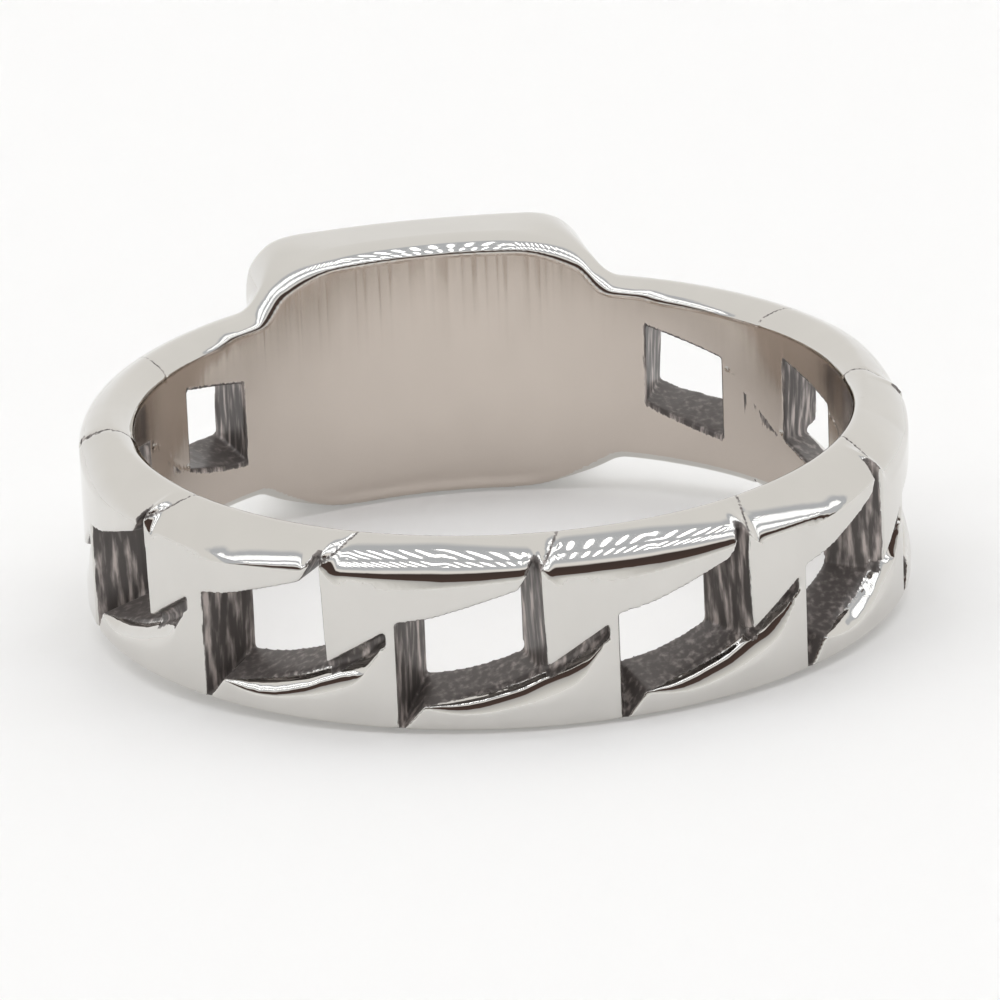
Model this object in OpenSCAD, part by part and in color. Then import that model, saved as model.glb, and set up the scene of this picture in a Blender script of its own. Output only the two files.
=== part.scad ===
// A cast chain link ring with a plain signet plate, lying on its side as it rests.
// Millimetres, +Z up. The floor is z = 0 and the origin is under the middle of the ring's box.
// In the ring's own frame the finger's axis is Z and the plate faces +Y. Angles round the
// ring are counted from the plate's middle, turning the way of +X to +Y.

/* [Finger] */
// Diameter of the bore, which is the finger size
bore_d = 19.8; // [15:0.1:23]

/* [Band] */
// Height of the band along the finger
band_h = 5.34; // [5.1:0.1:7]
// Thickness of the links, from the bore to their outer face
link_t = 1.58; // [1.3:0.05:2.4]
// How far the band's rim stands above the edge of the bore
rim_rise = 0.3; // [0.1:0.05:0.6]
// Width of the flat on the rim, from the bore outwards
rim_flat = 0.55; // [0.35:0.05:0.8]
// Height of the rounded bevel between the rim and the links' outer face
bevel_h = 1.25; // [0.8:0.05:1.4]
// Radius of the bevel's rounding
bevel_r = 2.1; // [1.9:0.1:4]

/* [Links] */
// Number of windows between the links
windows = 10; // [6:1:12]
// Width of the joint between two windows, along the links' outer face
joint_w = 2; // [1.2:0.1:2.6]
// Plain band between the plate's end and the first window, along the outer face
plate_margin = 1.4; // [0.8:0.1:2.4]
// How far each side of a window closes in between the outer face and the bore
window_draft = 0.46; // [0.1:0.02:0.6]
// Height of a window's low corner from the middle of the links
window_low = 0.66; // [0.45:0.02:0.8]
// Height of a window's high corner from the middle of the links
window_high = 1.6; // [1.1:0.05:1.7]
// How far the middle of the links lies below the middle of the band
links_drop = 0.14; // [0:0.02:0.2]
// Width of the notch where a rail dips under the next link
notch_w = 0.75; // [0.3:0.05:1]
// Height of the notch's tip above the window's high corner
notch_h = 0.82; // [0.3:0.02:0.85]

/* [Grooves and seams] */
// Width of the slanted groove between a joint's upper and lower link
groove_w = 0.34; // [0.2:0.02:0.5]
// Depth of the slanted groove
groove_d = 0.55; // [0.3:0.05:0.8]
// Width of the seams over the rim and across the bore
seam_w = 0.12; // [0.08:0.01:0.2]
// Depth of the seams
seam_d = 0.14; // [0.1:0.01:0.25]
// How far a rim seam leans round the ring between the outer face and the bore
seam_lean = 0.75; // [0.3:0.05:1]

/* [Signet plate] */
// Width of the plate round the finger
plate_w = 10.8; // [8:0.1:13]
// Height of the plate along the finger
plate_h = 7.5; // [7.4:0.1:9]
// Thickness of the plate at its middle, from the bore to its face
plate_t = 2.75; // [2.4:0.1:3.6]
// Radius of the plate's gently curved face
face_r = 20; // [14:1:60]
// Radius of the face's four corners
corner_r = 1.35; // [0.6:0.05:2]
// Where the shoulders start to slope at the plate's inner edge, from its middle
shoulder_x = 2.9; // [2:0.1:4]
// Slope of the shoulders, in height per width
shoulder_slope = 0.46; // [0.2:0.02:0.6]
// How much farther out the shoulders start for each millimetre towards the plate's face
shoulder_flare = 0.55; // [0.2:0.05:0.8]

/* [Hidden] */
$fn = 96;

// Spare length that carries a cut clear of the metal
clear = 1;
bore_r = bore_d / 2;
face_rad = bore_r + link_t;
plate_face = bore_r + plate_t;
half_band = band_h / 2;
half_plate = plate_h / 2;
rim_r = bore_r + rim_flat;

// Angles round the ring that the named widths take up on the links' outer face
joint_a = joint_w / face_rad * 180 / PI;
plate_a = asin(plate_w / 2 / face_rad);
margin_a = plate_margin / face_rad * 180 / PI;
pitch = (360 - 2 * (plate_a + margin_a) + joint_a) / windows;
window_a = (pitch - joint_a) / 2;
first_a = plate_a + margin_a + window_a;

// A window's half widths at the outer face and at the bore, and how far out each lies
wide_out = face_rad * sin(window_a);
out_y = face_rad * cos(window_a);
wide_in = bore_r * sin(window_a) - window_draft;
in_y = sqrt(bore_r * bore_r - wide_in * wide_in);
draft = (wide_out - wide_in) / (out_y - in_y);

// Slope of a window's upper edge, in height per width
window_slope = (window_high - window_low) / (2 * wide_out);

steel = [0.75, 0.74, 0.73];

// Straight pieces that draw the bevel's rounding
bevel_steps = 8;

// Points on an arc from p to q with radius r, bulging to the left of the way from p to q
function arc_between(p, q, r, steps) =
    let (mid = (p + q) / 2, run = q - p, chord = norm(run),
        up = [-run[1], run[0]] / chord,
        centre = mid - up * sqrt(r * r - chord * chord / 4),
        from = atan2(p[1] - centre[1], p[0] - centre[0]),
        turn = 2 * asin(chord / 2 / r))
    [for (i = [0:steps]) centre + r * [cos(from - turn * i / steps), sin(from - turn * i / steps)]];

// The band's upper outline, from the bore's edge over the rim and down the bevel, sunk by inset
function rim_outline(inset) = concat(
    [[bore_r - clear, half_band - rim_rise - inset], [bore_r, half_band - rim_rise - inset]],
    [[bore_r + rim_flat / 2, half_band - rim_rise / 4 - inset]],
    arc_between([rim_r, half_band - inset], [face_rad - inset, half_band - bevel_h], bevel_r, bevel_steps));

// The same outline turned over for the lower half
function turned_over(outline) =
    [for (i = [len(outline) - 1:-1:0]) [outline[i][0], -outline[i][1]]];

// A solid between two like outlines, given as [x, z] corners at two distances y. Each cap lists the
// corners of one face of its ends, and all its corners can be seen from the first.
module loft(inner, inner_y, outer, outer_y, caps) {
    n = len(inner);
    polyhedron(
        points = concat([for (p = inner) [p[0], inner_y, p[1]]], [for (p = outer) [p[0], outer_y, p[1]]]),
        faces = concat(
            [for (cap = caps) [for (i = [0:len(cap) - 1]) cap[(len(cap) - i) % len(cap)]]],
            [for (cap = caps) [for (i = cap) n + i]],
            [for (i = [0:n - 1]) each [[i, (i + 1) % n, n + i], [n + i, (i + 1) % n, n + (i + 1) % n]]]));
}
four_sided = [[0, 1, 2, 3]];
notched = [[5, 0, 1, 2], [2, 3, 4, 5]];

// Turns a thing upside down about the line out of the finger, as the links repeat it
module half_turn() { rotate([0, 180, 0]) children(); }

// The plain band, or its core when it is sunk by inset
module band(inset = 0) {
    rotate_extrude() polygon(concat(turned_over(rim_outline(inset)), rim_outline(inset)));
}

// The window through the wall, with a notch at two of its corners. Its sides close in towards the
// finger, and the notches run out there.
module window() {
    low_y = in_y - clear / 2;
    high_y = face_rad + clear;
    function wide_at(y) = wide_in + draft * (y - in_y);
    function edge_at(x) = (window_low + window_high) / 2 - window_slope * x;
    function notch_at(y) = notch_h * (y - low_y) / (out_y - low_y);
    function half(w, rise) = [[-w, edge_at(-w) + rise], [-w, -edge_at(w)], [w - notch_w, -edge_at(notch_w - w)]];
    function whole(y) = concat(half(wide_at(y), notch_at(y)), -half(wide_at(y), notch_at(y)));
    loft(whole(low_y), low_y, whole(high_y), high_y, notched);
}

// The slanted groove across a joint, from one window's low corner to the next one's
module groove() {
    half_a = joint_a / 2;
    reach = face_rad * sin(half_a) + clear / 2;
    rise = window_low * reach / (face_rad * sin(half_a));
    floor_y = face_rad - groove_d;
    top_y = face_rad + clear / 2;
    function slot(w) = [[-reach, rise + w], [-reach, rise - w], [reach, -rise - w], [reach, -rise + w]];
    loft(slot(groove_w / 4), floor_y, slot(groove_w / 2 + groove_w / groove_d * clear / 8), top_y, four_sided);
}

// The seam across the bore at a joint, from window to window
module bore_seam() {
    length = 2 * bore_r * sin(joint_a / 2) + 2 * window_draft + 2 * seam_w;
    slant = atan(2 * window_low / length);
    rotate([0, slant, 0]) translate([-length / 2, bore_r - clear, -seam_w / 2])
        cube([length, clear + seam_d, seam_w]);
}

// The thin wall that cuts the seam over the rim, from a notch's tip to the bore, leaning round the ring
module seam_wall() {
    rotate([0, 0, -joint_a / 2]) translate([0, face_rad, window_high + notch_h / 2])
        rotate([0, 0, -atan(seam_lean / link_t)]) translate([-seam_w / 2, -2 * link_t, 0])
            cube([seam_w, 2 * link_t + clear, band_h]);
}

// The seams over both rims at every joint, all of the same depth
module rim_seams() {
    difference() {
        at_joints() {
            seam_wall();
            half_turn() seam_wall();
        }
        band(seam_d);
    }
}

// Repeats a thing at every window's middle, or at the middle of every joint between two windows
module at_windows() {
    for (i = [0:windows - 1]) rotate([0, 0, first_a + i * pitch]) translate([0, 0, -links_drop]) children();
}
module at_joints() {
    for (i = [0:windows - 2]) rotate([0, 0, first_a + (i + 0.5) * pitch]) translate([0, 0, -links_drop]) children();
}

// The plate's outline with its rounded corners
module plate_outline() {
    square([plate_w - 2 * corner_r, plate_h], center = true);
    square([plate_w, plate_h - 2 * corner_r], center = true);
    for (x = [-1, 1], z = [-1, 1])
        translate([x * (plate_w / 2 - corner_r), z * (half_plate - corner_r)]) circle(r = corner_r);
}

// Where the shoulder starts, counted from the plate's middle, at a distance y from the finger's axis
function shoulder_start(y) = shoulder_x + shoulder_flare * (y - bore_r);

// The cut that slopes one shoulder down to the band at the plate's inner edge
module shoulder_cut() {
    low_y = bore_r * cos(plate_a) - clear;
    high_y = plate_face + clear;
    function above(x) = [
        [x - clear, half_plate + shoulder_slope * clear],
        [x + plate_w, half_plate - shoulder_slope * plate_w],
        [x + plate_w, plate_h],
        [x - clear, plate_h]];
    loft(above(shoulder_start(low_y)), low_y, above(shoulder_start(high_y)), high_y, four_sided);
}

// The signet plate: four-cornered, with a gently curved face and sloping shoulders
module plate() {
    difference() {
        intersection() {
            rotate([90, 0, 180]) linear_extrude(plate_face + clear) plate_outline();
            translate([0, plate_face - face_r, 0]) cylinder(h = plate_h + clear, r = face_r, center = true);
        }
        for (x = [0, 1], z = [0, 1]) mirror([x, 0, 0]) mirror([0, 0, z]) shoulder_cut();
    }
}

// How far the ring leans at rest: the plate's lower edge and the rim across from it both touch
function bore_y(x) = sqrt(bore_r * bore_r - x * x);
function plate_edge_z(x) = half_plate - shoulder_slope * max(0, x - shoulder_start(bore_y(x)));
rest_lean = max([for (x = [0:plate_w / 40:plate_w / 2])
    atan((plate_edge_z(x) - half_band) / (bore_y(x) + rim_r))]);
rest_lift = rim_r * sin(rest_lean) + half_band * cos(rest_lean);
reach_back = plate_face * cos(rest_lean) + half_plate * sin(rest_lean);
reach_front = face_rad * cos(rest_lean) + (half_band - bevel_h) * sin(rest_lean);

module in_place() {
    translate([0, (reach_front - reach_back) / 2, rest_lift]) rotate([rest_lean, 0, 0]) children();
}

module ring() {
    color(steel) in_place() difference() {
        union() {
            band();
            plate();
        }
        cylinder(h = plate_h + 2 * clear, r = bore_r, center = true);
        at_windows() window();
        at_joints() {
            groove();
            bore_seam();
        }
        rim_seams();
    }
}

ring();
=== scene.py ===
"""A cast chain link ring with a plain signet plate, lying on a pale floor.

The ring is modelled as a flat strip in millimetres, seen from outside: X runs round the ring,
Z along the finger, and -Y points out of the finger. Windows, flanks, grooves and seams are cut
in the strip. Then it is bent into a ring, its edges are softened like a casting's, and it is laid
on the floor.
"""

import logging
import math
from dataclasses import dataclass, field, replace
from enum import Enum
from typing import List, Sequence, Tuple

import bmesh
import bpy
import numpy as np
from mathutils import Matrix, Vector


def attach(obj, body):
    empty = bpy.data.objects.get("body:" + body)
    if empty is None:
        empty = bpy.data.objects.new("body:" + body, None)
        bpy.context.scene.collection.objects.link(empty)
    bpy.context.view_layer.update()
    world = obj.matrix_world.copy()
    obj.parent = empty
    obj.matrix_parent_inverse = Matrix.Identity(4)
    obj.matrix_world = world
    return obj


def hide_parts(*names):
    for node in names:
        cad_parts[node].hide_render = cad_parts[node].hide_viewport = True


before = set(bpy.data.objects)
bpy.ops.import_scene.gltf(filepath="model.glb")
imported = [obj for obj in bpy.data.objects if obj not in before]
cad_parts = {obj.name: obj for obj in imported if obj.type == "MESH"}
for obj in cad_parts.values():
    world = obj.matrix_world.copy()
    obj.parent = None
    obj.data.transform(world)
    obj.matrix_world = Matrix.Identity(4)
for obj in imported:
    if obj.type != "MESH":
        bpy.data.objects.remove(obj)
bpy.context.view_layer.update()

Point2 = Tuple[float, float]
Point3 = Tuple[float, float, float]
log = logging.getLogger("chain_link_ring")

# Radius at which the flat strip keeps its length, in millimetres
STRIP_R = 10.0
MM = 0.001
# A distance that no place on the ring has, in millimetres
FAR = 1e9


class Slot(Enum):
    """The finishes on the ring, in the order of its material slots."""

    POLISHED = 0
    OXIDE = 1
    BORE = 2


def along(angle: float) -> float:
    """Gives the strip's X for an angle round the ring in degrees."""
    return math.radians(angle) * STRIP_R


def out_at(radius: float) -> float:
    """Gives the strip's Y for a distance from the finger's axis."""
    return STRIP_R - radius


def smoothstep(low: float, high: float, value: float) -> float:
    """Gives 0 below low, 1 above high and a smooth step between them."""
    t = min(1.0, max(0.0, (value - low) / (high - low)))
    return t * t * (3.0 - 2.0 * t)


def mix(a: float, b: float, t: float) -> float:
    """Gives the value a share t of the way from a to b."""
    return a + (b - a) * t


def share_of(colour: Point3, share: float) -> Point3:
    """Gives a share of a colour, with no channel above 1."""
    return tuple(min(share * c, 1.0) for c in colour)


def bezier(a: Point2, b: Point2, c: Point2, d: Point2, steps: int) -> List[Point2]:
    """Draws a cubic curve.

    Args:
        a: Where the curve starts.
        b: Handle of the start.
        c: Handle of the end.
        d: Where the curve ends.
        steps: Number of straight pieces.

    Returns:
        The curve's points, both ends included.
    """
    points = []
    for i in range(steps + 1):
        t = i / steps
        u = 1.0 - t
        points.append(tuple(u**3 * p + 3 * u * u * t * q + 3 * u * t * t * r + t**3 * s
                            for p, q, r, s in zip(a, b, c, d)))
    return points


def even_points(points: Sequence[Point2], count: int, turn_weight: float) -> List[Point2]:
    """Spaces points along a line, closer where it turns.

    Args:
        points: The dense line.
        count: Number of straight pieces wanted.
        turn_weight: Length in millimetres that one radian of turning counts for.

    Returns:
        count + 1 points on the line, both ends included.
    """
    cost = [0.0]
    heading = None
    for p, q in zip(points, points[1:]):
        step = math.hypot(q[0] - p[0], q[1] - p[1])
        new = math.atan2(q[1] - p[1], q[0] - p[0])
        turn = 0.0 if heading is None else abs(math.remainder(new - heading, math.tau))
        heading = new
        cost.append(cost[-1] + step + turn_weight * turn)
    spaced = [points[0]]
    j = 0
    for i in range(1, count):
        want = cost[-1] * i / count
        while cost[j + 1] < want:
            j += 1
        t = (want - cost[j]) / (cost[j + 1] - cost[j])
        spaced.append(tuple(mix(p, q, t) for p, q in zip(points[j], points[j + 1])))
    spaced.append(points[-1])
    return spaced


def only(obj: bpy.types.Object) -> None:
    """Selects one object and nothing else, and makes it active.

    Args:
        obj: The object.
    """
    bpy.ops.object.select_all(action="DESELECT")
    obj.select_set(True)
    bpy.context.view_layer.objects.active = obj


def apply_modifier(obj: bpy.types.Object, modifier: bpy.types.Modifier) -> None:
    """Applies one modifier to an object's mesh.

    Args:
        obj: The object.
        modifier: One of its modifiers.
    """
    only(obj)
    bpy.ops.object.modifier_apply(modifier=modifier.name)


def rolled_grid(name: str, rows: Sequence[Sequence[Point3]]) -> bpy.types.Object:
    """Rolls a primitive grid into a closed tube through rows of points.

    Args:
        name: The piece's name.
        rows: One closed outline for each place along the tube, all with as many points.

    Returns:
        The tube, with a face at each end and all faces pointing outwards.
    """
    across = len(rows[0])
    bpy.ops.object.select_all(action="DESELECT")
    bpy.ops.mesh.primitive_grid_add(x_subdivisions=across, y_subdivisions=len(rows) - 1, size=1.0)
    tube = bpy.context.object
    tube.name = name
    stride = across + 1
    for i, vertex in enumerate(tube.data.vertices):
        vertex.co = rows[i // stride][(i % stride) % across]
    bpy.ops.object.mode_set(mode="EDIT")
    bpy.ops.mesh.select_all(action="SELECT")
    bpy.ops.mesh.remove_doubles(threshold=1e-5)
    bpy.ops.mesh.select_all(action="DESELECT")
    bpy.ops.mesh.select_mode(type="EDGE")
    bpy.ops.mesh.select_non_manifold(extend=False, use_wire=False, use_multi_face=False,
                                     use_non_contiguous=False, use_verts=False)
    bpy.ops.mesh.fill_holes(sides=0)
    bpy.ops.mesh.select_all(action="SELECT")
    bpy.ops.mesh.normals_make_consistent(inside=False)
    bpy.ops.object.mode_set(mode="OBJECT")
    return tube


def join(pieces: Sequence[bpy.types.Object], name: str) -> bpy.types.Object:
    """Joins pieces into one object.

    Args:
        pieces: The pieces, each with its own mesh.
        name: Name of the joined object.

    Returns:
        The first piece, which now holds them all.
    """
    bpy.ops.object.select_all(action="DESELECT")
    for piece in pieces:
        piece.select_set(True)
    bpy.context.view_layer.objects.active = pieces[0]
    bpy.ops.object.join()
    pieces[0].name = name
    return pieces[0]


def repeat(piece: bpy.types.Object, angles: Sequence[float], name: str) -> bpy.types.Object:
    """Copies a piece to every angle along the strip.

    Args:
        piece: The piece, modelled at angle 0.
        angles: The angles in degrees; the piece itself goes to the first.
        name: Name of the joined copies.

    Returns:
        All the copies, each with its own mesh, joined.
    """
    only(piece)
    bpy.ops.transform.translate(value=(along(angles[0]), 0, 0))
    pieces = [piece]
    for before, angle in zip(angles, angles[1:]):
        only(pieces[-1])
        bpy.ops.object.duplicate()
        bpy.ops.transform.translate(value=(along(angle - before), 0, 0))
        pieces.append(bpy.context.object)
    return join(pieces, name)


def cut(body: bpy.types.Object, cutter: bpy.types.Object) -> None:
    """Cuts one piece from another and deletes the cutter.

    Args:
        body: The piece that is cut.
        cutter: The piece that is taken away from it.
    """
    modifier = body.modifiers.new("cut", "BOOLEAN")
    modifier.operation = "DIFFERENCE"
    modifier.solver = "MANIFOLD"
    modifier.object = cutter
    apply_modifier(body, modifier)
    bpy.data.objects.remove(cutter)


@dataclass(frozen=True)
class BandOutline:
    """The band's cross-section in millimetres, from the bore over the rim to the links' face."""

    bore_r: float = 9.9
    face_r: float = 11.48
    crown_r: float = 10.25
    crown_z: float = 2.47
    bore_z: float = 2.15
    # Height from the crown down to a crease for which the handles below are drawn
    full_drop: float = 1.05
    # Lowest height that the rolled bevel reaches, and the top of the flat facet below it
    roll_z: float = 1.5
    facet_z: float = 1.66
    facet_pieces: int = 12
    # Handles of the two curves that meet at the crown
    crown_out: Point2 = (0.55, -0.23)
    crease_back: Point2 = (-0.12, 0.42)
    bore_up: Point2 = (0.0, 0.2)
    crown_back: Point2 = (-0.17, 0.055)

    def bevel(self, crease_z: float, steps: int = 60) -> List[Point2]:
        """Draws the bevel from the crown down to a crease.

        Args:
            crease_z: Height of the crease.
            steps: Number of straight pieces in the rolled part.

        Returns:
            The bevel's points as radius and height.
        """
        low = max(crease_z, self.roll_z)
        drop = (self.crown_z - low) / self.full_drop
        crown = (self.crown_r, self.crown_z)
        crease = (self.face_r, low)
        after = (crown[0] + self.crown_out[0], crown[1] + self.crown_out[1] * drop)
        before = (crease[0] + self.crease_back[0] * drop, crease[1] + self.crease_back[1] * drop)
        rolled = bezier(crown, after, before, crease, steps)
        if low == crease_z:
            return rolled
        kept = [p for p in rolled if p[1] > self.facet_z]
        start = kept[-1]
        shares = [i / self.facet_pieces for i in range(1, self.facet_pieces + 1)]
        return kept + [(mix(start[0], self.face_r, t), mix(start[1], crease_z, t)) for t in shares]

    def rim(self, edge_z: float, crown: Point2, steps: int) -> List[Point2]:
        """Draws the rounding from the bore's edge up to the crown.

        Args:
            edge_z: Height of the bore's edge.
            crown: Radius and height of the crown.
            steps: Number of straight pieces.

        Returns:
            The rounding's points as radius and height.
        """
        edge = (self.bore_r, edge_z)
        after = (edge[0] + self.bore_up[0], edge[1] + self.bore_up[1])
        before = (crown[0] + self.crown_back[0], crown[1] + self.crown_back[1])
        return bezier(edge, after, before, crown, steps)


@dataclass(frozen=True)
class SignetPlate:
    """The plate's outer form, in millimetres from the finger's axis and the plate's middle."""

    half_w: float = 5.14
    half_h: float = 3.74
    face_y: float = 12.65
    face_r: float = 20.0
    corner_r: float = 1.75
    edge_r: float = 0.5
    shoulder_drop: float = 1.33
    # Handles of the rounding from the bore's edge up to the plate's rim
    rim_up: Point2 = (0.0, 0.2)
    rim_back: Point2 = (-0.17, 0.055)
    # Where the shoulder starts to fall and where it meets the band, in degrees
    fall_from: float = 12.0
    fall_to: float = 41.0
    # How far out the shoulder's slope reaches, and how softly it meets the plate and the band
    slope_from_r: float = 9.9
    slope_to_r: float = 12.3
    slope_soft: float = 0.35
    foot_soft: float = 0.55

    def inside(self, radius: float, angle: float, z: float) -> float:
        """Measures how far a point lies outside the plate, or inside if negative.

        Args:
            radius: Distance from the finger's axis.
            angle: Angle from the plate's middle in degrees.
            z: Height from the ring's middle.

        Returns:
            The distance in millimetres.
        """
        x = abs(radius * math.sin(math.radians(angle)))
        y = radius * math.cos(math.radians(angle))
        z = abs(z)
        side = (x - self.half_w + self.corner_r, z - self.half_h + self.corner_r)
        wall = math.hypot(max(side[0], 0), max(side[1], 0)) + min(max(side), 0) - self.corner_r
        face = math.hypot(x, y - self.face_y + self.face_r) - self.face_r
        rim = (wall + self.edge_r, face + self.edge_r)
        body = math.hypot(max(rim[0], 0), max(rim[1], 0)) + min(max(rim), 0) - self.edge_r
        fall = smoothstep(self.fall_from, self.fall_to, abs(angle))
        shoulder = mix(self.half_h, self.half_h - self.shoulder_drop, fall)
        limit = mix(shoulder, self.half_h, smoothstep(self.slope_from_r, self.slope_to_r, radius))
        above = z - limit
        h = max(self.slope_soft - abs(body - above), 0) / self.slope_soft
        return max(body, above) + h * h * self.slope_soft / 4


@dataclass(frozen=True)
class LinkPattern:
    """Where the links, windows and creases lie, in degrees round the ring and millimetres."""

    windows: int = 10
    pitch: float = 30.0
    half_window: float = 10.0
    # How far each window lies from its even place, in degrees
    slips: Tuple[float, ...] = (-2.3, -1.5, -1.5, 0.0, 0.0, 0.0, 0.0, 0.0, 0.0, 0.0)
    # Height of the bevel's crease on a link, by the angle from the link's left edge
    crease: Tuple[Point2, ...] = (
        (0.0, 1.9), (0.6, 1.76), (1.3, 1.58), (2.0, 1.43), (3.0, 1.29), (4.2, 1.22), (6.5, 1.28),
        (11.0, 1.38), (16.5, 1.49), (22.0, 1.59), (26.0, 1.66), (29.0, 1.7), (29.5, 1.78), (30.0, 1.9),
    )
    # Where the crease runs level again behind the raised left end, and where the right end starts to rise
    level_from: float = 4.2
    level_to: float = 29.0
    # The lower edge stays square: its crease runs level near the strip's lower side
    low_crease: float = -2.5
    # Height of the crease inside the plate, and the angles between which it gets there
    plate_crease: float = 1.45
    plate_from: float = 141.0
    plate_to: float = 165.0

    def centres(self) -> List[float]:
        """Gives the angle of each window's middle, counted from the point across from the plate."""
        first = -self.pitch * (self.windows - 1) / 2
        return [first + i * self.pitch + slip for i, slip in enumerate(self.slips)]

    def joints(self) -> List[float]:
        """Gives the angle of each joint's middle, between two windows."""
        return [c + self.pitch / 2 for c in self.centres()[:-1]]

    def link_starts(self) -> List[float]:
        """Gives the angle of each upper link's left edge, without the one inside the plate."""
        return [c + self.half_window for c in self.centres()[:-1]]

    def upper_crease(self, angle: float) -> float:
        """Gives the height of the upper bevel's crease.

        Args:
            angle: Angle round the ring in degrees, counted from the point across from the plate.

        Returns:
            The crease's height above the ring's middle.
        """
        starts = self.link_starts()
        if angle < starts[0] - self.pitch + self.level_from:
            run = self.level_from
        elif angle < starts[0]:
            run = angle - starts[0] + self.pitch
        else:
            run = angle - max(s for s in starts if s <= angle)
            if angle > starts[-1] + self.level_to:
                run = self.level_to
        height = self.crease[-1][1]
        for (a, low), (b, high) in zip(self.crease, self.crease[1:]):
            if run <= b:
                height = mix(low, high, (run - a) / (b - a))
                break
        return mix(height, self.plate_crease, smoothstep(self.plate_from, self.plate_to, abs(angle)))

    def stations(self) -> List[float]:
        """Lists the angles at which the band's outline changes.

        Returns:
            The angles in degrees, from one end of the strip to the other.
        """
        starts = [self.link_starts()[0] - self.pitch] + self.link_starts()
        ends = starts[1:] + [starts[-1] + self.pitch]
        found = set()
        for start, end in zip(starts, ends):
            found |= {round(start + run, 5) for run, _ in self.crease[:-1] if start + run < end}
        return sorted(found)


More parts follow.
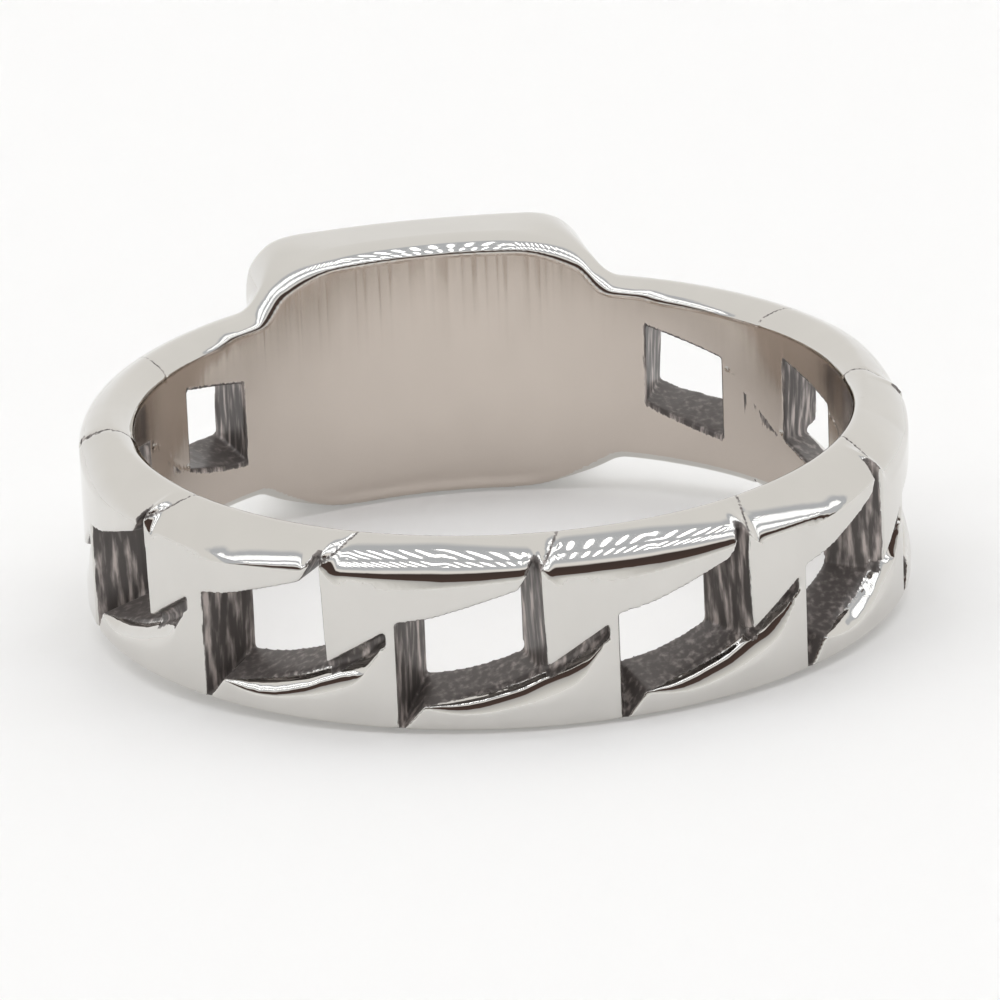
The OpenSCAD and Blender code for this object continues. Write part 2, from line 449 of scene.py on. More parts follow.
@dataclass
class Blank:
    """The uncut strip: the band with its bevels, and the signet plate that grows out of it."""

    band: BandOutline = field(default_factory=BandOutline)
    # The plate's form above the band's middle and below it
    plate: SignetPlate = field(default_factory=lambda: SignetPlate(
        half_h=4.05, shoulder_drop=1.45, rim_up=(0.25, 0.21), rim_back=(-0.4, -0.02)))
    lower_plate: SignetPlate = field(default_factory=SignetPlate)
    # Heights of the crown and of the bore's edge on the lower side
    lower_crown_z: float = 2.67
    lower_bore_z: float = 2.37
    links: LinkPattern = field(default_factory=LinkPattern)
    # Straight pieces of the bevel and the rim, and the length that a radian of turning counts for
    arc_pieces: int = 16
    arc_turn: float = 0.9
    rim_pieces: int = 5
    rim_steps: int = 30
    rim_turn: float = 0.3
    # How far from its middle the plate shapes the strip, and the steps between outlines there
    plate_reach: float = 41.0
    fine_from: float = 17.0
    fine_to: float = 31.0
    fine_step: float = 0.45
    coarse_step: float = 1.25
    # The point in the strip from which rays look for the plate's surface, and how far they look
    core_r: float = 10.72
    core_z: float = 1.2
    ray_least: float = 0.7
    ray_more: float = 3.5
    halvings: int = 26
    least_slant: float = 0.35
    # Height of the rounding from the bore to the plate's rim
    rim_edge: float = 0.44
    # Least height of that rounding on the shoulders, and the angles over which the bore's edge falls
    rim_least: float = 0.32
    edge_from: float = 15.0
    edge_to: float = 41.0
    # The band's outline towards the plate, and the angles from the plate over which it gets there
    shoulder_crown: Point2 = (10.75, 2.7)
    shoulder_crease: float = 2.0
    shoulder_bore_z: float = 2.28
    shoulder_from: float = 112.0
    shoulder_to: float = 72.0

    def outline(self, angle: float, crease_z: float, plate: SignetPlate) -> List[Point2]:
        """Draws half an outline at an angle, from the links' face to the bore's edge.

        Args:
            angle: Angle from the plate's middle in degrees.
            crease_z: Height of the bevel's crease.
            plate: The form of the plate on this half.

        Returns:
            Points as radius and height, from the crease over the crown to the bore.
        """
        band = self.band
        if plate is self.plate:
            grown = 1.0 - smoothstep(self.shoulder_to, self.shoulder_from, abs(angle))
            crown_r = mix(band.crown_r, self.shoulder_crown[0], grown)
            crown_z = mix(band.crown_z, self.shoulder_crown[1], grown)
            bore_z = mix(band.bore_z, self.shoulder_bore_z, grown)
            band = replace(band, crown_r=crown_r, crown_z=crown_z, bore_z=bore_z)
            crease_z = mix(crease_z, self.shoulder_crease, grown)
        bevel = band.bevel(crease_z)
        edge_z = band.bore_z
        if abs(angle) < self.plate_reach:
            fall = smoothstep(plate.fall_from, plate.fall_to, abs(angle))
            bevel = self.swollen(bevel, angle, plate)
            run = smoothstep(self.edge_from, self.edge_to, abs(angle))
            edge_z = mix(plate.half_h - self.rim_edge, band.bore_z, run)
            edge_z = min(edge_z, bevel[0][1] - self.rim_least)
            up = tuple(mix(p, q, fall) for p, q in zip(plate.rim_up, band.bore_up))
            back = tuple(mix(p, q, fall) for p, q in zip(plate.rim_back, band.crown_back))
            band = replace(band, bore_up=up, crown_back=back)
        arc = even_points(bevel, self.arc_pieces, self.arc_turn)
        rim = even_points(band.rim(edge_z, bevel[0], self.rim_steps), self.rim_pieces, self.rim_turn)
        return arc[::-1] + rim[::-1][1:]

    def lower_outline(self, angle: float) -> List[Point2]:
        """Draws the lower half of an outline, mirrored up.

        Args:
            angle: Angle from the plate's middle in degrees.

        Returns:
            Points as radius and height, from the crease over the crown to the bore.
        """
        band = replace(self.band, crown_z=self.lower_crown_z, bore_z=self.lower_bore_z)
        square = replace(self, band=band)
        links = self.links
        in_plate = smoothstep(links.plate_from, links.plate_to, 180.0 - angle)
        crease = mix(-links.low_crease, links.plate_crease, in_plate)
        return square.outline(angle, crease, self.lower_plate)

    def swollen(self, bevel: Sequence[Point2], angle: float, plate: SignetPlate) -> List[Point2]:
        """Moves the bevel's points out along rays from the strip's core to the plate's surface.

        Args:
            bevel: The band's bevel.
            angle: Angle from the plate's middle in degrees.
            plate: The form of the plate on this half.

        Returns:
            The bevel's points, out on the plate or its soft foot.
        """
        grown = []
        for radius, z in bevel:
            run = (radius - self.core_r, z - self.core_z)
            size = math.hypot(*run)
            ray = (run[0] / size, run[1] / size)
            low, high = size * self.ray_least, size + self.ray_more
            for _ in range(self.halvings):
                t = (low + high) / 2
                at = (self.core_r + ray[0] * t, self.core_z + ray[1] * t)
                gap = plate.inside(at[0], angle, at[1])
                skin = (t - size) * self.slant(bevel, ray)
                h = max(plate.foot_soft - abs(gap - skin), 0) / plate.foot_soft
                if min(gap, skin) - h * h * plate.foot_soft / 4 > 0:
                    high = t
                else:
                    low = t
            grown.append((self.core_r + ray[0] * low, self.core_z + ray[1] * low))
        return grown

    def slant(self, bevel: Sequence[Point2], ray: Point2) -> float:
        """Gives how squarely a ray meets the bevel, which turns distance along it into depth.

        Args:
            bevel: The band's bevel.
            ray: The ray's direction, one millimetre long.

        Returns:
            The depth that a millimetre along the ray gives.
        """
        run = (bevel[-1][0] - bevel[0][0], bevel[-1][1] - bevel[0][1])
        size = math.hypot(*run)
        return max(self.least_slant, abs(ray[0] * -run[1] + ray[1] * run[0]) / size)

    def angles(self) -> List[float]:
        """Lists every angle at which the strip has an outline.

        Returns:
            The angles in degrees, from one end of the strip to the other.
        """
        edge = 180.0 - self.plate_reach
        band = [a for a in self.links.stations() if abs(a) < edge]
        near = [a for a in self.plate_angles() if a > 0]
        return sorted(set(band) | {a - 180.0 for a in near} | {180.0 - a for a in near} | {-180.0, 180.0})

    def plate_angles(self) -> List[float]:
        """Lists the angles at which the plate has an outline.

        Returns:
            The angles in degrees from the plate's middle, on one side of it.
        """
        found, a = [], 0.0
        while a < self.plate_reach:
            found.append(a)
            step = self.fine_step if self.fine_from <= a < self.fine_to else self.coarse_step
            a = round(a + step, 4)
        return found + [self.plate_reach]

    def build(self) -> bpy.types.Object:
        """Makes the strip from its outlines.

        Returns:
            The strip, closed at both ends.
        """
        rows = []
        for angle in self.angles():
            from_plate = 180.0 - abs(angle)
            upper = self.outline(from_plate, self.links.upper_crease(angle), self.plate)
            lower = self.lower_outline(from_plate)
            loop = upper + [(r, -z) for r, z in reversed(lower)]
            rows.append([(along(angle), out_at(r), z) for r, z in loop])
        return rolled_grid("strip", rows)


@dataclass
class Windows:
    """The windows between the links, with the notch where a rail dips under the next link."""

    links: LinkPattern = field(default_factory=LinkPattern)
    # Corners at the links' face and at the bore, as degrees from the window's middle and height
    face: Tuple[Point2, ...] = (
        (-9.8, 0.43), (-9.7, -2.72), (-5.1, -1.88), (-1.1, -1.83), (2.8, -1.69), (6.7, -1.45), (10.7, -1.13),
        (10.1, 2.36), (6.9, 1.37),
    )
    bore: Tuple[Point2, ...] = (
        (-7.1, 0.95), (-7.1, -1.5), (-4.5, -1.44), (-1.4, -1.35), (1.6, -1.22), (4.7, -1.06), (7.7, -0.87),
        (7.6, 1.55), (7.0, 1.5),
    )
    # The same corners for the two windows beside the plate
    end_face: Tuple[Point2, ...] = (
        (-9.0, 0.75), (-8.6, -0.95), (-5.1, -0.95), (-1.1, -0.93), (2.8, -0.86), (6.7, -0.78), (9.2, -0.62),
        (8.6, 1.95), (6.9, 1.6),
    )
    end_bore: Tuple[Point2, ...] = (
        (-7.1, 0.95), (-7.1, -1.42), (-4.5, -1.36), (-1.4, -1.26), (1.6, -1.13), (4.7, -0.98), (7.7, -0.82),
        (7.6, 1.55), (7.0, 1.5),
    )
    face_r: float = 11.48
    bore_r: float = 9.9
    inner_r: float = 9.76
    outer_r: float = 12.6
    # The two open corners that are rounded, by their places in the lists above
    open_corners: Tuple[int, ...] = (0, 6)
    corner_round: float = 0.24
    corner_pieces: int = 3

    def outline(self, radius: float) -> List[Point3]:
        """Gives the window's corners on the strip.

        Args:
            radius: Distance from the finger's axis.

        Returns:
            One point for each corner.
        """
        t = (radius - self.bore_r) / (self.face_r - self.bore_r)
        return [(along(mix(b[0], f[0], t)), out_at(radius), mix(b[1], f[1], t))
                for f, b in zip(self.face, self.bore)]

    def cutter(self) -> bpy.types.Object:
        """Makes the cutter of one window."""
        cutter = rolled_grid("window", [self.outline(self.inner_r), self.outline(self.outer_r)])
        self.round_corners(cutter)
        return cutter

    def build(self) -> bpy.types.Object:
        """Makes all the window cutters as one piece.

        Returns:
            The cutters, each in its place on the strip.
        """
        centres = self.links.centres()
        between = repeat(self.cutter(), centres[1:-1], "windows")
        ends = replace(self, face=self.end_face, bore=self.end_bore)
        return join([between, repeat(ends.cutter(), [centres[0], centres[-1]], "end_windows")], "windows")

    def round_corners(self, cutter: bpy.types.Object) -> None:
        """Rounds the window's open corners, which run from the bore to the face.

        Args:
            cutter: The cutter of one window.
        """
        only(cutter)
        bpy.ops.object.mode_set(mode="EDIT")
        bpy.ops.mesh.select_all(action="DESELECT")
        mesh = bmesh.from_edit_mesh(cutter.data)
        mesh.verts.ensure_lookup_table()
        for edge in mesh.edges:
            ends = {v.index for v in edge.verts}
            edge.select_set(any(ends == {c, c + len(self.face)} for c in self.open_corners))
        bmesh.update_edit_mesh(cutter.data)
        bpy.ops.mesh.bevel(offset=self.corner_round, segments=self.corner_pieces, affect="EDGES")
        bpy.ops.object.mode_set(mode="OBJECT")


@dataclass
class Flanks:
    """The rounded flank ground along the lower rail, between the window and its outer face."""

    links: LinkPattern = field(default_factory=LinkPattern)
    # Angle from the window's middle, height of the flank's top and height of its crease
    course: Tuple[Point3, ...] = (
        (-5.6, -1.84, -1.9), (-4.4, -1.82, -1.97), (-2.6, -1.8, -2.04), (-0.6, -1.73, -2.08),
        (1.7, -1.65, -2.08), (3.5, -1.56, -2.04), (5.1, -1.48, -1.98), (7.0, -1.38, -1.91),
        (8.8, -1.24, -1.85), (10.2, -1.13, -1.82), (11.8, -1.02, -1.7), (13.4, -0.93, -1.55),
        (14.6, -0.82, -1.41), (15.6, -0.7, -1.2), (16.4, -0.58, -0.92), (17.2, -0.46, -0.68),
        (18.0, -0.34, -0.46),
    )
    face_r: float = 11.48
    clear_r: float = 12.4
    # How far the flank reaches in where it is full, and the drop at which it is full
    reach: float = 0.46
    full_drop: float = 0.36
    # Handles of the curve at its top and its foot, as shares of the reach and of the drop
    top_handle: Point2 = (0.62, 0.04)
    foot_handle: Point2 = (0.12, 0.5)
    curve_pieces: int = 9
    # How much the cut falls for each millimetre outside the face
    clear_slope: float = 0.5
    # How far the cut reaches up into the window
    overlap: float = 0.25

    def profile(self, top_z: float, crease_z: float) -> List[Point2]:
        """Draws the section of what is cut away beside the flank.

        Args:
            top_z: Height of the flank's top.
            crease_z: Height of its crease.

        Returns:
            The closed section as radius and height.
        """
        drop = top_z - crease_z
        reach = self.reach * min(1.0, drop / self.full_drop)
        start, end = (self.face_r - reach, top_z), (self.face_r, crease_z)
        after = (start[0] + reach * self.top_handle[0], start[1] - self.top_handle[1] * drop)
        before = (end[0] - self.foot_handle[0] * reach, end[1] + drop * self.foot_handle[1])
        curve = bezier(start, after, before, end, self.curve_pieces)
        out = (self.clear_r, crease_z - (self.clear_r - self.face_r) * self.clear_slope)
        return curve + [out, (self.clear_r, top_z + self.overlap), (start[0], top_z + self.overlap)]

    def build(self) -> bpy.types.Object:
        """Makes all the flank cutters as one piece, without the two beside the plate."""
        rows = []
        for angle, top, crease in self.course:
            rows.append([(along(angle), out_at(r), z) for r, z in self.profile(top, crease)])
        return repeat(rolled_grid("flank", rows), self.links.centres()[1:-1], "flanks")


@dataclass
class Grooves:
    """The slanted groove across each joint, between the upper and the lower link."""

    links: LinkPattern = field(default_factory=LinkPattern)
    # Angle from the joint's middle and height at both ends of the groove's middle line
    start: Point2 = (-4.7, -1.05)
    end: Point2 = (4.0, -0.0)
    half_w: float = 0.235
    floor_half_w: float = 0.15
    floor_r: float = 11.08
    clear_r: float = 12.0
    # How much the cutter still widens outside the face, as a share of its widening below it
    flare: float = 0.5

    def build(self) -> bpy.types.Object:
        """Makes all the groove cutters as one piece.

        Returns:
            The cutters, each in its place on the strip.
        """
        wide = self.half_w + (self.half_w - self.floor_half_w) * self.flare
        rows = []
        for angle, z in (self.start, self.end):
            x = along(angle)
            rows.append([(x, out_at(self.floor_r), z - self.floor_half_w),
                         (x, out_at(self.clear_r), z - wide), (x, out_at(self.clear_r), z + wide),
                         (x, out_at(self.floor_r), z + self.floor_half_w)])
        return repeat(rolled_grid("groove", rows), self.links.joints(), "grooves")


@dataclass
class Seams:
    """The fine seams over the rim and across the bore, where one link overlaps the next."""

    blank: Blank
    # A seam's width and depth, and how far its cutter stands out of the rim
    width: float = 0.09
    depth: float = 0.13
    above: float = 0.25
    # How far a rim seam turns between the face and the bore, in degrees, and where it starts
    lean: float = 4.2
    start_z: float = 1.95
    # Half the bore seam's length in degrees, half its rise, and where its cutter ends in the bore
    bore_reach: float = 7.3
    bore_rise: float = 0.72
    bore_pieces: int = 10
    inner_r: float = 9.6

    def rim_seam(self, upper: bool) -> bpy.types.Object:
        """Makes the cutter of one seam over the rim.

        Args:
            upper: Whether the seam crosses the upper rim.

        Returns:
            The cutter at a joint at angle 0, which follows the rim from the links' face to the bore.
        """
        links = self.blank.links
        side = 1 if upper else -1
        edge = -side * (links.pitch / 2 - links.half_window)
        half = self.blank.lower_outline(180.0)
        if upper:
            half = self.blank.outline(180.0, links.crease[-1][1], self.blank.plate)
        outline = [p for p in half if p[1] > self.start_z]
        band = self.blank.band
        rows = []
        for i, (radius, z) in enumerate(outline):
            before, after = outline[max(i - 1, 0)], outline[min(i + 1, len(outline) - 1)]
            run = (after[0] - before[0], after[1] - before[1])
            size = math.hypot(*run)
            normal = (run[1] / size, -run[0] / size)
            turned = self.lean * (band.face_r - radius) / (band.face_r - band.bore_r)
            x = along(edge + side * turned)
            row = []
            for width, depth in ((-1, -self.depth), (1, -self.depth), (1, self.above), (-1, self.above)):
                r, h = radius + normal[0] * depth, z + normal[1] * depth
                row.append((x + width * self.width / 2, out_at(r), side * h))
            rows.append(row)
        return rolled_grid("rim_seam", rows)

    def bore_seam(self) -> bpy.types.Object:
        """Makes the cutter of one seam that crosses the bore at a joint, from window to window.

        Returns:
            The cutter at a joint at angle 0.
        """
        rows = []
        inner, outer = out_at(self.inner_r), out_at(self.blank.band.bore_r + self.depth)
        for i in range(self.bore_pieces + 1):
            t = 2 * i / self.bore_pieces - 1
            x = along(self.bore_reach * t)
            z = self.bore_rise * math.sin(t * math.pi / 2)
            low, high = z - self.width / 2, z + self.width / 2
            rows.append([(x, inner, low), (x, outer, low), (x, outer, high), (x, inner, high)])
        return rolled_grid("bore_seam", rows)

    def build(self) -> bpy.types.Object:
        """Makes all the seam cutters as one piece.

        Returns:
            The cutters, each in its place on the strip.
        """
        joints = self.blank.links.joints()
        return join([repeat(self.rim_seam(True), joints, "upper_seams"),
                     repeat(self.rim_seam(False), joints, "lower_seams"),
                     repeat(self.bore_seam(), joints, "bore_seams")], "seams")


@dataclass(frozen=True)
class OxideMap:
    """Works out how far each place on the ring lies from what the oxide still covers."""

    windows: Windows
    grooves: Grooves
    seams: Seams
    # How far the oxide reaches over an edge, and how far out it is left on the walls
    creep: float = 0.06
    worn_r: float = 11.42
    # How high above a window's floor the flank's bright edge counts
    flank_near: float = 0.3
    # How far the flank reaches in, by the angle from the window's middle
    flank_reach: Tuple[Point2, ...] = ((-5.6, 0.05), (-4.4, 0.14), (-2.6, 0.26), (-0.6, 0.38), (1.7, 0.4))
    # The two corners between which the window's floor runs, and how far it sags between them
    floor_corners: Tuple[int, int] = (2, 6)
    floor_sag: float = 0.15
    groove_creep: float = 0.03
    seam_half_w: float = 0.03
    lower_seam_z: float = 2.5
    # Distance from the finger's axis at which the oxide of the rim's seams ends
    seam_inner_r: float = 9.96

    def distance(self, places: np.ndarray) -> np.ndarray:
        """Measures each place's distance from the oxide's border.

        Args:
            places: Points of the ring before it is leaned, in millimetres, one row each.

        Returns:
            The distance in millimetres, negative where the oxide is.
        """
        angle = np.degrees(np.arctan2(places[:, 0], -places[:, 1]))
        radius = np.hypot(places[:, 0], places[:, 1])
        found = np.minimum(self.in_windows(angle, radius, places[:, 2]),
                           self.in_grooves(angle, radius, places[:, 2]))
        return np.minimum(found, self.in_seams(angle, radius, places[:, 2]))

    @staticmethod
    def from_nearest(angle: np.ndarray, places: Sequence[float]) -> np.ndarray:
        """Counts angles from the nearest of some places.

        Args:
            angle: Angles round the ring in degrees.
            places: The places, in degrees too.

        Returns:
            Each angle as counted from its nearest place.
        """
        gaps = angle[:, None] - np.array(places)[None, :]
        return gaps[np.arange(len(angle)), np.argmin(np.abs(gaps), axis=1)]

    def in_windows(self, angle: np.ndarray, radius: np.ndarray, z: np.ndarray) -> np.ndarray:
        """Gives the distance from the oxide on the windows' walls.

        Args:
            angle: Each place's angle round the ring in degrees.
            radius: Its distance from the finger's axis.
            z: Its height above the ring's middle.

        Returns:
            The distance in millimetres, negative where the oxide is.
        """
        turned = self.from_nearest(angle, self.windows.links.centres())
        x = np.radians(turned) * STRIP_R
        share = (radius - self.windows.bore_r) / (self.windows.face_r - self.windows.bore_r)
        corners = [(np.radians(b[0] + (f[0] - b[0]) * share) * STRIP_R, b[1] + (f[1] - b[1]) * share)
                   for f, b in zip(self.windows.face, self.windows.bore)]
        near = np.full(len(angle), FAR)
        inside = np.zeros(len(angle), dtype=bool)
        for (ax, az), (bx, bz) in zip(corners, corners[1:] + corners[:1]):
            ex, ez = bx - ax, bz - az
            t = np.clip(((x - ax) * ex + (z - az) * ez) / (ex * ex + ez * ez), 0, 1)
            near = np.minimum(near, np.hypot(x - ax - t * ex, z - az - t * ez))
            crosses = ((az > z) != (bz > z)) & (x < ax + (z - az) * ex / np.where(ez == 0, 1e-9, ez))
            inside ^= crosses
        gap = np.where(inside, -near, near) - self.creep
        (ax, az), (bx, bz) = (corners[i] for i in self.floor_corners)
        run = (x - ax) / (bx - ax)
        floor = az + (bz - az) * run - self.floor_sag * 4 * run * (1 - run)
        places, reaches = zip(*self.flank_reach)
        ends = self.windows.links.centres()
        beside_flank = (turned > places[0]) & (z < floor + self.flank_near)
        beside_flank &= angle > ends[0] + self.windows.links.pitch / 2
        beside_flank &= angle < ends[-1] - self.windows.links.pitch / 2
        flank_r = self.windows.face_r - np.interp(turned, places, reaches)
        return np.maximum(gap, radius - np.where(beside_flank, flank_r, self.worn_r))

    def in_grooves(self, angle: np.ndarray, radius: np.ndarray, z: np.ndarray) -> np.ndarray:
        """Gives the distance from the oxide in the grooves.

        Args:
            angle: Each place's angle round the ring in degrees.
            radius: Its distance from the finger's axis.
            z: Its height above the ring's middle.

        Returns:
            The distance in millimetres, negative where the oxide is.
        """
        x = np.radians(self.from_nearest(angle, self.grooves.links.joints())) * STRIP_R
        (a0, z0), (a1, z1) = self.grooves.start, self.grooves.end
        ax, ex, ez = along(a0), along(a1) - along(a0), z1 - z0
        size = math.hypot(ex, ez)
        run = ((x - ax) * ex + (z - z0) * ez) / size
        side = np.abs((z - z0) * ex - (x - ax) * ez) / size
        gap = np.maximum(side - self.grooves.half_w * ex / size, np.maximum(-run, run - size))
        return np.maximum(gap - self.groove_creep, radius - self.worn_r + self.groove_creep)

    def in_seams(self, angle: np.ndarray, radius: np.ndarray, z: np.ndarray) -> np.ndarray:
        """Gives the distance from the oxide in the seams over the rim.

        Args:
            angle: Each place's angle round the ring in degrees.
            radius: Its distance from the finger's axis.
            z: Its height above the ring's middle.

        Returns:
            The distance in millimetres, negative where the oxide is.
        """
        near = np.full(len(angle), FAR)
        pattern, band = self.seams.blank.links, self.seams.blank.band
        for joint in pattern.joints():
            for side in (1, -1):
                edge = joint - side * (pattern.pitch / 2 - pattern.half_window)
                turned = self.seams.lean * (band.face_r - radius) / (band.face_r - band.bore_r)
                gap = np.abs(np.radians(angle - edge - side * turned)) * radius - self.seam_half_w
                gap = np.maximum(gap, (self.seams.start_z if side > 0 else self.lower_seam_z) - side * z)
                near = np.minimum(near, np.maximum(gap, self.seam_inner_r - radius))
        return near


class Graph:
    """Adds nodes to a node tree, one line each."""

    def __init__(self, tree: bpy.types.NodeTree) -> None:
        """Takes the tree that the nodes go into."""
        self.tree = tree

    def add(self, kind: str, **settings: object) -> bpy.types.Node:
        """Adds a node and sets its properties.

        Args:
            kind: The node's type, without its prefix.
            **settings: The properties and their values.

        Returns:
            The node.
        """
        node = self.tree.nodes.new("ShaderNode" + kind)
        for name, value in settings.items():
            setattr(node, name, value)
        return node

    def link(self, value: object, socket: bpy.types.NodeSocket) -> None:
        """Links an output to a socket, or sets the socket to a number or a colour.

        Args:
            value: The output, the number or the colour.
            socket: The socket that takes it.
        """
        if isinstance(value, bpy.types.NodeSocket):
            self.tree.links.new(value, socket)
        else:
            socket.default_value = value

    def math(self, operation: str, *values: object) -> bpy.types.NodeSocket:
        """Adds a math node.

        Args:
            operation: What the node works out.
            *values: Its inputs, each an output or a number.

        Returns:
            The node's result.
        """
        node = self.add("Math", operation=operation)
        for i, value in enumerate(values):
            self.link(value, node.inputs[i])
        return node.outputs[0]

    def ramp(self, value: object, stops: Sequence[Tuple[float, Point3]]) -> bpy.types.NodeSocket:
        """Adds a colour ramp.

        Args:
            value: What the ramp reads, from 0 to 1.
            stops: The places of its colours and the colours, in order.

        Returns:
            The ramp's colour.
        """
        node = self.add("ValToRGB")
        self.link(value, node.inputs[0])
        elements = node.color_ramp.elements
        while len(elements) < len(stops):
            elements.new(1.0)
        for element, (place, colour) in zip(elements, stops):
            element.position = place
            element.color = (*colour, 1.0)
        return node.outputs[0]

    def mix(self, share: object, a: object, b: object, colour: bool = True) -> bpy.types.NodeSocket:
        """Adds a mix of two colours or two numbers.

        Args:
            share: How much of the second there is.
            a: The first colour or number.
            b: The second.
            colour: Whether they are colours.

        Returns:
            The mixed colour or number.
        """
        node = self.add("Mix", data_type="RGBA" if colour else "FLOAT")
        self.link(share, node.inputs[0])
        first = 6 if colour else 2
        self.link((*a, 1.0) if isinstance(a, tuple) else a, node.inputs[first])
        self.link((*b, 1.0) if isinstance(b, tuple) else b, node.inputs[first + 1])
        return node.outputs[2 if colour else 0]

    def lines(self, per_metre: float, stretch: float, detail: float) -> bpy.types.NodeSocket:
        """Adds a noise drawn out along the finger and gives its value.

        Args:
            per_metre: How many times the noise changes in a metre across the lines.
            stretch: How many times longer the lines are than wide.
            detail: How many finer layers the noise has.

        Returns:
            The noise, about 0.3 to 0.7.
        """
        place = self.add("TexCoord")
        scale = self.add("Mapping")
        scale.inputs["Scale"].default_value = (per_metre, per_metre, per_metre / stretch)
        noise = self.add("TexNoise")
        noise.inputs["Scale"].default_value = 1.0
        noise.inputs["Detail"].default_value = detail
        self.link(place.outputs["Object"], scale.inputs["Vector"])
        self.link(scale.outputs["Vector"], noise.inputs["Vector"])
        return noise.outputs["Fac"]


@dataclass(frozen=True)
class Steel:
    """A finish of cast steel.

    Attributes:
        name: The material's name.
        tint: The metal's colour.
        rough: Roughness of the metal.
        line_depth: Depth of the fine lines in metres.
        oxide_tint: Colour of the oxide left in the corners.
        oxide_metal: How metallic the oxide is.
        oxide_rough: Roughness of the oxide.
        border: Where the oxide's cover ends, in millimetres either side of its border.
        fringe: How far the oxide's border frays, in millimetres.
        streaks_and_sheen: The oxide's brightness by the value of its noise, as shares of its colour: random
            scratch tone, with bright stops that also paint a sheen of light on the upright walls.
        level_no_sheen: How much of the streaked tone and painted sheen is gone where the oxide lies level,
            so that level faces stay darker than upright walls.
        cloud_range: Least and most of the metal's colour, as shares of it.
        worn: How much the metal's roughness changes, and its least, as shares of it.
        fray_lines: Noise that frays the border: changes in a metre, stretch and layers.
        sheen_streak_lines: The same for the streaked tone and painted sheen in the oxide.
        cloud_lines: The same for the metal's colour.
        worn_lines: The same for the metal's roughness.
        fine_lines: The same for the fine lines on the surface.
    """

    name: str
    tint: Point3
    rough: float
    line_depth: float
    oxide_tint: Point3 = (0.108, 0.096, 0.091)
    oxide_metal: float = 0.3
    oxide_rough: float = 0.36
    border: Point2 = (-0.015, 0.02)
    fringe: float = 0.13
    # Random scratch tone in the oxide; its bright stops are raised so that they also paint a sheen of light
    # on the upright window walls
    streaks_and_sheen: Tuple[Point2, ...] = ((0.0, 0.55), (0.47, 1.0), (0.56, 2.3), (0.67, 5.5))
    # Share of that painted sheen taken off level faces, which keep the plain dark oxide colour
    level_no_sheen: float = 0.85
    cloud_range: Point2 = (0.96, 1.04)
    worn: Point2 = (0.8, 0.6)
    fray_lines: Point3 = (16000.0, 9.0, 2.0)
    sheen_streak_lines: Point3 = (5200.0, 7.0, 4.0)
    cloud_lines: Point3 = (700.0, 1.5, 2.0)
    worn_lines: Point3 = (2500.0, 4.0, 2.0)
    fine_lines: Point3 = (9000.0, 14.0, 2.0)

    def material(self) -> bpy.types.Material:
        """Makes the material: the metal, and the oxide where the ring's oxide attribute is low.

        Returns:
            The material.
        """
        material = bpy.data.materials.new(self.name)
        material.use_nodes = True
        graph = Graph(material.node_tree)
        shader = material.node_tree.nodes["Principled BSDF"]
        distance = graph.add("Attribute", attribute_name="oxide").outputs["Fac"]
        fray = graph.math("MULTIPLY_ADD", graph.lines(*self.fray_lines), self.fringe, -self.fringe / 2)
        cover = graph.add("MapRange", interpolation_type="SMOOTHSTEP")
        graph.link(graph.math("ADD", distance, fray), cover.inputs["Value"])
        for value, socket in zip((*self.border, 1.0, 0.0), ("From Min", "From Max", "To Min", "To Max")):
            graph.link(value, cover.inputs[socket])
        covered = cover.outputs["Result"]
        graph.link(graph.mix(covered, 1.0, self.oxide_metal, colour=False), shader.inputs["Metallic"])
        stops = [(place, share_of(self.oxide_tint, share)) for place, share in self.streaks_and_sheen]
        streaks_and_sheen = graph.ramp(graph.lines(*self.sheen_streak_lines), stops)
        # Painted sheen: the streaked, brighter oxide stays on upright walls and is mostly taken off level
        # faces by their world normal
        facing = graph.add("SeparateXYZ")
        graph.link(graph.add("NewGeometry").outputs["Normal"], facing.inputs[0])
        level = graph.math("POWER", facing.outputs[2], 2.0)
        streaks_and_sheen = graph.mix(graph.math("MULTIPLY", level, self.level_no_sheen), streaks_and_sheen, self.oxide_tint)
        cloud = graph.lines(*self.cloud_lines)
        shade = graph.mix(cloud, *(share_of(self.tint, share) for share in self.cloud_range))
        graph.link(graph.mix(covered, shade, streaks_and_sheen), shader.inputs["Base Color"])
        change, least = (self.rough * share for share in self.worn)
        worn = graph.math("MULTIPLY_ADD", graph.lines(*self.worn_lines), change, least)
        graph.link(graph.mix(covered, worn, self.oxide_rough, colour=False), shader.inputs["Roughness"])
        bump = graph.add("Bump")
        bump.inputs["Strength"].default_value = 1.0
        bump.inputs["Distance"].default_value = self.line_depth
        graph.link(graph.lines(*self.fine_lines), bump.inputs["Height"])
        graph.link(bump.outputs["Normal"], shader.inputs["Normal"])
        return material


